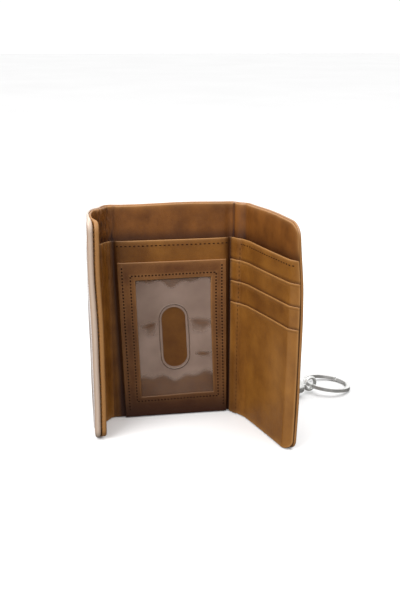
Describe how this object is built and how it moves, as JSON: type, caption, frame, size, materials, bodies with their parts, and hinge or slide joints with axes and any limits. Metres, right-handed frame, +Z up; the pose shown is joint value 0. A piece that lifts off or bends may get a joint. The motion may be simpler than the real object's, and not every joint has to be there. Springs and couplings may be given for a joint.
{
  "type": "trifold wallet",
  "caption": "Small leather trifold wallet standing open, with a clear ID window, stepped card slots, a full-length bill compartment and a split key ring on a swivel clasp.",
  "frame": {"origin": "foot of the centre panel, midway between its two fold axes, on the middle plane of the outer leather", "axes": "+X to the right along the centre panel as seen from inside, +Y out of the panel's back, +Z up along the folds"},
  "size_m": [0.1709, 0.1009, 0.132],
  "materials": {
    "outer_leather": "smooth waxed tan leather, soft gloss",
    "lining_leather": "smooth tan leather, slightly wrinkled",
    "pocket_leather": "smooth tan leather with stitched edges",
    "frame_leather": "smooth brown leather with two rows of stitches",
    "board": "matte fibre board",
    "clear_film": "clear vinyl film with soft waves",
    "nickel_plate": "polished nickel plate",
    "spring_steel": "bright spring wire"
  },
  "bodies": {
    "centre_panel": {"shell_centre": "outer_leather", "board_centre": "board", "lining_centre": "lining_leather", "divider_centre": "pocket_leather", "id_frame": "frame_leather", "id_window": "clear_film"},
    "right_fold": {"shell_right_fold": "outer_leather", "lining_right_fold": "lining_leather", "divider_right_fold": "pocket_leather", "key_tab": "outer_leather"},
    "right_wing": {"shell_right_wing": "outer_leather", "board_right_wing": "board", "lining_right_wing": "lining_leather", "divider_right_wing": "pocket_leather", "card_slot_1": "pocket_leather", "card_slot_2": "pocket_leather", "card_slot_3": "pocket_leather"},
    "left_fold": {"shell_left_fold": "outer_leather", "lining_left_fold": "lining_leather", "divider_left_fold": "pocket_leather"},
    "left_flap": {"shell_left_flap": "outer_leather", "board_left_flap": "board", "lining_left_flap": "lining_leather", "divider_left_flap": "pocket_leather"},
    "d_ring": {"d_ring": "nickel_plate"},
    "clasp": {"clasp_body": "nickel_plate", "clasp_spring": "spring_steel"},
    "clasp_bolt": {"clasp_bolt": "nickel_plate"},
    "swivel": {"swivel_eye": "nickel_plate"},
    "split_ring": {"split_ring": "nickel_plate"}
  },
  "joints": [
    {"name": "right_fold_inner", "type": "hinge", "parent": "centre_panel", "child": "right_fold", "pos_m": [0.03685, 0, 0], "axis": [0, 0, -1], "range_deg": [-37.15, 52.85]},
    {"name": "right_fold_outer", "type": "hinge", "parent": "right_fold", "child": "right_wing", "pos_m": [0.04562, -0.00664, 0], "axis": [0, 0, -1], "range_deg": [-37.15, 52.85]},
    {"name": "left_fold_inner", "type": "hinge", "parent": "centre_panel", "child": "left_fold", "pos_m": [-0.03685, 0, 0], "axis": [0, 0, 1], "range_deg": [-46, 44]},
    {"name": "left_fold_outer", "type": "hinge", "parent": "left_fold", "child": "left_flap", "pos_m": [-0.04762, -0.01115, 0], "axis": [0, 0, 1], "range_deg": [-46, 44]},
    {"name": "d_ring_swing", "type": "hinge", "parent": "right_fold", "child": "d_ring", "pos_m": [0.04619, 0.00321, 0.0065], "axis": [0, 0, 1], "range_deg": [-10, 110]},
    {"name": "clasp_swing", "type": "hinge", "parent": "d_ring", "child": "clasp", "pos_m": [0.0576, -0.00049, 0.0065], "axis": [0, 0, 1], "range_deg": [-35, 60]},
    {"name": "bolt_slide", "type": "slide", "parent": "clasp", "child": "clasp_bolt", "axis": [0.9157, 0.4019, 0], "range_m": [0, 0.004], "stiffness_N_per_m": 150, "springref_m": -0.002, "deforming": ["clasp_spring"]},
    {"name": "swivel_turn", "type": "hinge", "parent": "clasp", "child": "swivel", "pos_m": [0.08672, 0.01229, 0.0065], "axis": [0.9157, 0.4019, 0], "continuous": true},
    {"name": "key_ring_swing", "type": "hinge", "parent": "swivel", "child": "split_ring", "pos_m": [0.09377, 0.01538, 0.0056], "axis": [-0.4019, 0.9157, 0], "range_deg": [-60, 60]}
  ],
  "couplings": [
    {"joint": "right_fold_outer", "follows": "right_fold_inner", "ratio": 1},
    {"joint": "left_fold_outer", "follows": "left_fold_inner", "ratio": 1}
  ]
}
